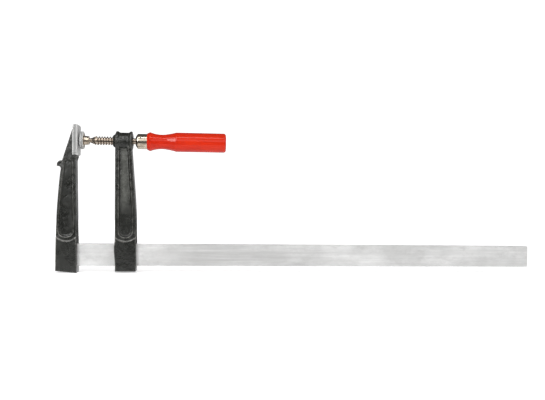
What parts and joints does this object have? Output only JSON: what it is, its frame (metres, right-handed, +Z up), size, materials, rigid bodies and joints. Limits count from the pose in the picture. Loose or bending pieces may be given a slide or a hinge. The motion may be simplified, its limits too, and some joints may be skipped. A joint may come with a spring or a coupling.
{
  "type": "f clamp",
  "caption": "Bar clamp with a fixed jaw, an arm that slides along a flat rail, and a screw with a turned handle and a swivelling pad.",
  "frame": {"origin": "centre of the fixed jaw's clamping face, on the screw axis", "axes": "+X along the rail from the fixed jaw to the free end, +Z up the arms from rail to screw, Y across the thickness"},
  "size_m": [0.6637, 0.028, 0.1997],
  "materials": {
    "rail_steel": "drawn, lengthwise brushed",
    "cast_iron": "black enamel over cast texture, satin",
    "plated_steel": "nickel plated, satin",
    "red_wood": "red lacquer",
    "cap_plastic": "translucent grey, satin"
  },
  "bodies": {
    "rail_and_fixed_arm": {"rail": "rail_steel", "fixed_arm": "cast_iron", "fixed_jaw_cap": "cap_plastic"},
    "sliding_arm": {"sliding_arm": "cast_iron"},
    "screw_ring": {"tip_ring": "plated_steel"},
    "screw": {"spindle": "plated_steel", "ferrule": "plated_steel", "handle_pin": "plated_steel", "handle": "red_wood"},
    "pad_bush": {"ball_bush": "plated_steel"},
    "pressure_pad": {"pressure_plate": "plated_steel", "pad_cap": "cap_plastic"}
  },
  "joints": [
    {"name": "arm_slide", "type": "slide", "parent": "rail_and_fixed_arm", "child": "sliding_arm", "axis": [1, 0, 0], "range_m": [0, 0.55]},
    {"name": "screw_travel", "type": "slide", "parent": "sliding_arm", "child": "screw_ring", "axis": [1, 0, 0], "range_m": [0, 0.0216]},
    {"name": "screw_turn", "type": "hinge", "parent": "screw_ring", "child": "screw", "pos_m": [0.0065, 0, 0], "axis": [1, 0, 0], "range_deg": [0, 2161]},
    {"name": "pad_swivel", "type": "hinge", "parent": "screw_ring", "child": "pad_bush", "pos_m": [0.0102, 0, 0], "axis": [1, 0, 0], "continuous": true},
    {"name": "pad_tilt", "type": "hinge", "parent": "pad_bush", "child": "pressure_pad", "pos_m": [0.0102, 0, 0], "axis": [0, 1, 0], "range_deg": [-10, 10]}
  ],
  "couplings": [
    {"joint": "screw_turn", "follows": "screw_travel", "rad_per_m": 1745.3}
  ]
}
